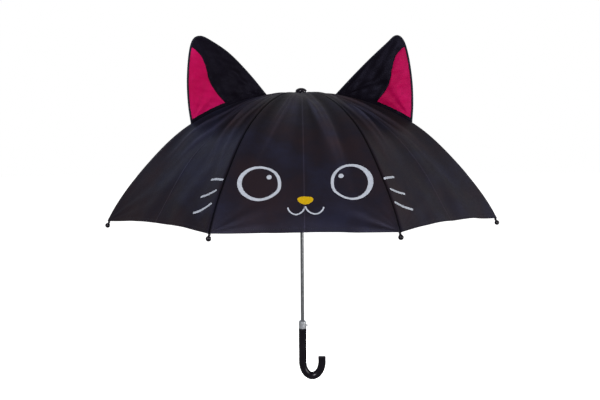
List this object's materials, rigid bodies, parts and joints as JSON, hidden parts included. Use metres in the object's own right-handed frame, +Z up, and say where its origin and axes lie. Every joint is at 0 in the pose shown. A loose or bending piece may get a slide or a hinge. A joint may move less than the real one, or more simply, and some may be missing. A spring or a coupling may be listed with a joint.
{
  "type": "children's umbrella",
  "caption": "Child's stick umbrella with a black dome canopy, printed cat face, standing pink-lined ears and a J handle; the runner slides down to fold it.",
  "frame": {"origin": "on the shaft axis at the middle of the straight grip, where a hand holds the umbrella up", "axes": "+Z up the shaft to the cap, -Y to the front panel with the face, +X to the hook of the handle"},
  "size_m": [0.7056, 0.7056, 0.6754],
  "materials": {
    "canopy_fabric": "plain-woven polyester, slight sheen",
    "ear_fabric": "plain-woven polyester over a stiff pad",
    "ear_lining": "satin weave",
    "ear_piping": "corded piping",
    "steel": "drawn, lightly polished",
    "rib_steel": "blackened spring steel",
    "spring_steel": "tempered",
    "collar_metal": "mottled satin",
    "gloss_plastic": "gloss",
    "matt_plastic": "fine matt"
  },
  "bodies": {
    "frame": {"shaft": "steel", "top_notch": "matt_plastic", "notch_wire": "steel", "top_cap": "gloss_plastic", "canopy_rosette": "canopy_fabric", "handle": "gloss_plastic", "handle_end_plug": "matt_plastic", "handle_collar": "collar_metal"},
    "top_spring": {"top_spring": "spring_steel"},
    "release_button": {"release_button": "collar_metal"},
    "runner": {"runner": "matt_plastic", "runner_wire": "steel"},
    "rib_1": {"rib_1": "rib_steel", "rib_tip_1": "gloss_plastic"},
    "stretcher_1": {"stretcher_1": "rib_steel"},
    "canopy_1_before": {"canopy_1_before": "canopy_fabric"},
    "canopy_1_after": {"canopy_1_after": "canopy_fabric"},
    "rib_2": {"rib_2": "rib_steel", "rib_tip_2": "gloss_plastic", "ear_right_back": "ear_fabric", "ear_right_front": "ear_fabric", "ear_right_lining": "ear_lining", "ear_right_piping": "ear_piping"},
    "stretcher_2": {"stretcher_2": "rib_steel"},
    "canopy_2_before": {"canopy_2_before": "canopy_fabric"},
    "canopy_2_after": {"canopy_2_after": "canopy_fabric"},
    "rib_3": {"rib_3": "rib_steel", "rib_tip_3": "gloss_plastic"},
    "stretcher_3": {"stretcher_3": "rib_steel"},
    "canopy_3_before": {"canopy_3_before": "canopy_fabric"},
    "canopy_3_after": {"canopy_3_after": "canopy_fabric"},
    "rib_4": {"rib_4": "rib_steel", "rib_tip_4": "gloss_plastic"},
    "stretcher_4": {"stretcher_4": "rib_steel"},
    "canopy_4_before": {"canopy_4_before": "canopy_fabric"},
    "canopy_4_after": {"canopy_4_after": "canopy_fabric"},
    "rib_5": {"rib_5": "rib_steel", "rib_tip_5": "gloss_plastic"},
    "stretcher_5": {"stretcher_5": "rib_steel"},
    "canopy_5_before": {"canopy_5_before": "canopy_fabric"},
    "canopy_5_after": {"canopy_5_after": "canopy_fabric"},
    "rib_6": {"rib_6": "rib_steel", "rib_tip_6": "gloss_plastic"},
    "stretcher_6": {"stretcher_6": "rib_steel"},
    "canopy_6_before": {"canopy_6_before": "canopy_fabric"},
    "canopy_6_after": {"canopy_6_after": "canopy_fabric"},
    "rib_7": {"rib_7": "rib_steel", "rib_tip_7": "gloss_plastic", "ear_left_back": "ear_fabric", "ear_left_front": "ear_fabric", "ear_left_lining": "ear_lining", "ear_left_piping": "ear_piping"},
    "stretcher_7": {"stretcher_7": "rib_steel"},
    "canopy_7_before": {"canopy_7_before": "canopy_fabric"},
    "canopy_7_after": {"canopy_7_after": "canopy_fabric"},
    "rib_8": {"rib_8": "rib_steel", "rib_tip_8": "gloss_plastic"},
    "stretcher_8": {"stretcher_8": "rib_steel"},
    "canopy_8_before": {"canopy_8_before": "canopy_fabric"},
    "canopy_8_after": {"canopy_8_after": "canopy_fabric"}
  },
  "joints": [
    {"name": "runner_slide", "type": "slide", "parent": "frame", "child": "runner", "axis": [0, 0, -1], "range_m": [0, 0.25013], "deforming": ["canopy_1_before", "canopy_1_after", "canopy_2_before", "canopy_2_after", "canopy_3_before", "canopy_3_after", "canopy_4_before", "canopy_4_after", "canopy_5_before", "canopy_5_after", "canopy_6_before", "canopy_6_after", "canopy_7_before", "canopy_7_after", "canopy_8_before", "canopy_8_after", "top_spring"]},
    {"name": "top_spring_press", "type": "slide", "parent": "frame", "child": "top_spring", "axis": [0, 1, 0], "range_m": [0, 0.0032], "stiffness_N_per_m": 2500},
    {"name": "release_button_press", "type": "slide", "parent": "frame", "child": "release_button", "axis": [-1, 0, 0], "range_m": [0, 0.002], "stiffness_N_per_m": 1500},
    {"name": "rib_1_fold", "type": "hinge", "parent": "frame", "child": "rib_1", "pos_m": [0.00344, -0.00831, 0.5025], "axis": [0.9239, 0.3827, 0], "range_deg": [0, 52.85]},
    {"name": "stretcher_1_fold", "type": "hinge", "parent": "rib_1", "child": "stretcher_1", "pos_m": [0.07259, -0.17525, 0.45472], "axis": [-0.9239, -0.3827, 0], "range_deg": [0, 105.69]},
    {"name": "canopy_1_before_fold", "type": "hinge", "parent": "rib_1", "child": "canopy_1_before", "pos_m": [0, 0, 0.507], "axis": [-0.322, 0.7774, 0.5403], "range_deg": [0, 61.42]},
    {"name": "canopy_1_after_fold", "type": "hinge", "parent": "rib_1", "child": "canopy_1_after", "pos_m": [0, 0, 0.507], "axis": [0.322, -0.7774, -0.5403], "range_deg": [0, 61.42]},
    {"name": "rib_2_fold", "type": "hinge", "parent": "frame", "child": "rib_2", "pos_m": [0.00831, -0.00344, 0.5025], "axis": [0.3827, 0.9239, 0], "range_deg": [0, 52.85]},
    {"name": "stretcher_2_fold", "type": "hinge", "parent": "rib_2", "child": "stretcher_2", "pos_m": [0.17525, -0.07259, 0.45472], "axis": [-0.3827, -0.9239, 0], "range_deg": [0, 105.69]},
    {"name": "canopy_2_before_fold", "type": "hinge", "parent": "rib_2", "child": "canopy_2_before", "pos_m": [0, 0, 0.507], "axis": [-0.7774, 0.322, 0.5403], "range_deg": [0, 61.42]},
    {"name": "canopy_2_after_fold", "type": "hinge", "parent": "rib_2", "child": "canopy_2_after", "pos_m": [0, 0, 0.507], "axis": [0.7774, -0.322, -0.5403], "range_deg": [0, 61.42]},
    {"name": "rib_3_fold", "type": "hinge", "parent": "frame", "child": "rib_3", "pos_m": [0.00831, 0.00344, 0.5025], "axis": [-0.3827, 0.9239, 0], "range_deg": [0, 52.85]},
    {"name": "stretcher_3_fold", "type": "hinge", "parent": "rib_3", "child": "stretcher_3", "pos_m": [0.17525, 0.07259, 0.45472], "axis": [0.3827, -0.9239, 0], "range_deg": [0, 105.69]},
    {"name": "canopy_3_before_fold", "type": "hinge", "parent": "rib_3", "child": "canopy_3_before", "pos_m": [0, 0, 0.507], "axis": [-0.7774, -0.322, 0.5403], "range_deg": [0, 61.42]},
    {"name": "canopy_3_after_fold", "type": "hinge", "parent": "rib_3", "child": "canopy_3_after", "pos_m": [0, 0, 0.507], "axis": [0.7774, 0.322, -0.5403], "range_deg": [0, 61.42]},
    {"name": "rib_4_fold", "type": "hinge", "parent": "frame", "child": "rib_4", "pos_m": [0.00344, 0.00831, 0.5025], "axis": [-0.9239, 0.3827, 0], "range_deg": [0, 52.85]},
    {"name": "stretcher_4_fold", "type": "hinge", "parent": "rib_4", "child": "stretcher_4", "pos_m": [0.07259, 0.17525, 0.45472], "axis": [0.9239, -0.3827, 0], "range_deg": [0, 105.69]},
    {"name": "canopy_4_before_fold", "type": "hinge", "parent": "rib_4", "child": "canopy_4_before", "pos_m": [0, 0, 0.507], "axis": [-0.322, -0.7774, 0.5403], "range_deg": [0, 61.42]},
    {"name": "canopy_4_after_fold", "type": "hinge", "parent": "rib_4", "child": "canopy_4_after", "pos_m": [0, 0, 0.507], "axis": [0.322, 0.7774, -0.5403], "range_deg": [0, 61.42]},
    {"name": "rib_5_fold", "type": "hinge", "parent": "frame", "child": "rib_5", "pos_m": [-0.00344, 0.00831, 0.5025], "axis": [-0.9239, -0.3827, 0], "range_deg": [0, 52.85]},
    {"name": "stretcher_5_fold", "type": "hinge", "parent": "rib_5", "child": "stretcher_5", "pos_m": [-0.07259, 0.17525, 0.45472], "axis": [0.9239, 0.3827, 0], "range_deg": [0, 105.69]},
    {"name": "canopy_5_before_fold", "type": "hinge", "parent": "rib_5", "child": "canopy_5_before", "pos_m": [0, 0, 0.507], "axis": [0.322, -0.7774, 0.5403], "range_deg": [0, 61.42]},
    {"name": "canopy_5_after_fold", "type": "hinge", "parent": "rib_5", "child": "canopy_5_after", "pos_m": [0, 0, 0.507], "axis": [-0.322, 0.7774, -0.5403], "range_deg": [0, 61.42]},
    {"name": "rib_6_fold", "type": "hinge", "parent": "frame", "child": "rib_6", "pos_m": [-0.00831, 0.00344, 0.5025], "axis": [-0.3827, -0.9239, 0], "range_deg": [0, 52.85]},
    {"name": "stretcher_6_fold", "type": "hinge", "parent": "rib_6", "child": "stretcher_6", "pos_m": [-0.17525, 0.07259, 0.45472], "axis": [0.3827, 0.9239, 0], "range_deg": [0, 105.69]},
    {"name": "canopy_6_before_fold", "type": "hinge", "parent": "rib_6", "child": "canopy_6_before", "pos_m": [0, 0, 0.507], "axis": [0.7774, -0.322, 0.5403], "range_deg": [0, 61.42]},
    {"name": "canopy_6_after_fold", "type": "hinge", "parent": "rib_6", "child": "canopy_6_after", "pos_m": [0, 0, 0.507], "axis": [-0.7774, 0.322, -0.5403], "range_deg": [0, 61.42]},
    {"name": "rib_7_fold", "type": "hinge", "parent": "frame", "child": "rib_7", "pos_m": [-0.00831, -0.00344, 0.5025], "axis": [0.3827, -0.9239, 0], "range_deg": [0, 52.85]},
    {"name": "stretcher_7_fold", "type": "hinge", "parent": "rib_7", "child": "stretcher_7", "pos_m": [-0.17525, -0.07259, 0.45472], "axis": [-0.3827, 0.9239, 0], "range_deg": [0, 105.69]},
    {"name": "canopy_7_before_fold", "type": "hinge", "parent": "rib_7", "child": "canopy_7_before", "pos_m": [0, 0, 0.507], "axis": [0.7774, 0.322, 0.5403], "range_deg": [0, 61.42]},
    {"name": "canopy_7_after_fold", "type": "hinge", "parent": "rib_7", "child": "canopy_7_after", "pos_m": [0, 0, 0.507], "axis": [-0.7774, -0.322, -0.5403], "range_deg": [0, 61.42]},
    {"name": "rib_8_fold", "type": "hinge", "parent": "frame", "child": "rib_8", "pos_m": [-0.00344, -0.00831, 0.5025], "axis": [0.9239, -0.3827, 0], "range_deg": [0, 52.85]},
    {"name": "stretcher_8_fold", "type": "hinge", "parent": "rib_8", "child": "stretcher_8", "pos_m": [-0.07259, -0.17525, 0.45472], "axis": [-0.9239, 0.3827, 0], "range_deg": [0, 105.69]},
    {"name": "canopy_8_before_fold", "type": "hinge", "parent": "rib_8", "child": "canopy_8_before", "pos_m": [0, 0, 0.507], "axis": [0.322, 0.7774, 0.5403], "range_deg": [0, 61.42]},
    {"name": "canopy_8_after_fold", "type": "hinge", "parent": "rib_8", "child": "canopy_8_after", "pos_m": [0, 0, 0.507], "axis": [-0.322, -0.7774, -0.5403], "range_deg": [0, 61.42]}
  ],
  "couplings": [
    {"joint": "rib_1_fold", "follows": "runner_slide", "rad_per_m": 3.686},
    {"joint": "stretcher_1_fold", "follows": "runner_slide", "rad_per_m": 7.3721},
    {"joint": "canopy_1_before_fold", "follows": "runner_slide", "rad_per_m": 4.2843},
    {"joint": "canopy_1_after_fold", "follows": "runner_slide", "rad_per_m": 4.2843},
    {"joint": "rib_2_fold", "follows": "runner_slide", "rad_per_m": 3.686},
    {"joint": "stretcher_2_fold", "follows": "runner_slide", "rad_per_m": 7.3721},
    {"joint": "canopy_2_before_fold", "follows": "runner_slide", "rad_per_m": 4.2843},
    {"joint": "canopy_2_after_fold", "follows": "runner_slide", "rad_per_m": 4.2843},
    {"joint": "rib_3_fold", "follows": "runner_slide", "rad_per_m": 3.686},
    {"joint": "stretcher_3_fold", "follows": "runner_slide", "rad_per_m": 7.3721},
    {"joint": "canopy_3_before_fold", "follows": "runner_slide", "rad_per_m": 4.2843},
    {"joint": "canopy_3_after_fold", "follows": "runner_slide", "rad_per_m": 4.2843},
    {"joint": "rib_4_fold", "follows": "runner_slide", "rad_per_m": 3.686},
    {"joint": "stretcher_4_fold", "follows": "runner_slide", "rad_per_m": 7.3721},
    {"joint": "canopy_4_before_fold", "follows": "runner_slide", "rad_per_m": 4.2843},
    {"joint": "canopy_4_after_fold", "follows": "runner_slide", "rad_per_m": 4.2843},
    {"joint": "rib_5_fold", "follows": "runner_slide", "rad_per_m": 3.686},
    {"joint": "stretcher_5_fold", "follows": "runner_slide", "rad_per_m": 7.3721},
    {"joint": "canopy_5_before_fold", "follows": "runner_slide", "rad_per_m": 4.2843},
    {"joint": "canopy_5_after_fold", "follows": "runner_slide", "rad_per_m": 4.2843},
    {"joint": "rib_6_fold", "follows": "runner_slide", "rad_per_m": 3.686},
    {"joint": "stretcher_6_fold", "follows": "runner_slide", "rad_per_m": 7.3721},
    {"joint": "canopy_6_before_fold", "follows": "runner_slide", "rad_per_m": 4.2843},
    {"joint": "canopy_6_after_fold", "follows": "runner_slide", "rad_per_m": 4.2843},
    {"joint": "rib_7_fold", "follows": "runner_slide", "rad_per_m": 3.686},
    {"joint": "stretcher_7_fold", "follows": "runner_slide", "rad_per_m": 7.3721},
    {"joint": "canopy_7_before_fold", "follows": "runner_slide", "rad_per_m": 4.2843},
    {"joint": "canopy_7_after_fold", "follows": "runner_slide", "rad_per_m": 4.2843},
    {"joint": "rib_8_fold", "follows": "runner_slide", "rad_per_m": 3.686},
    {"joint": "stretcher_8_fold", "follows": "runner_slide", "rad_per_m": 7.3721},
    {"joint": "canopy_8_before_fold", "follows": "runner_slide", "rad_per_m": 4.2843},
    {"joint": "canopy_8_after_fold", "follows": "runner_slide", "rad_per_m": 4.2843}
  ]
}
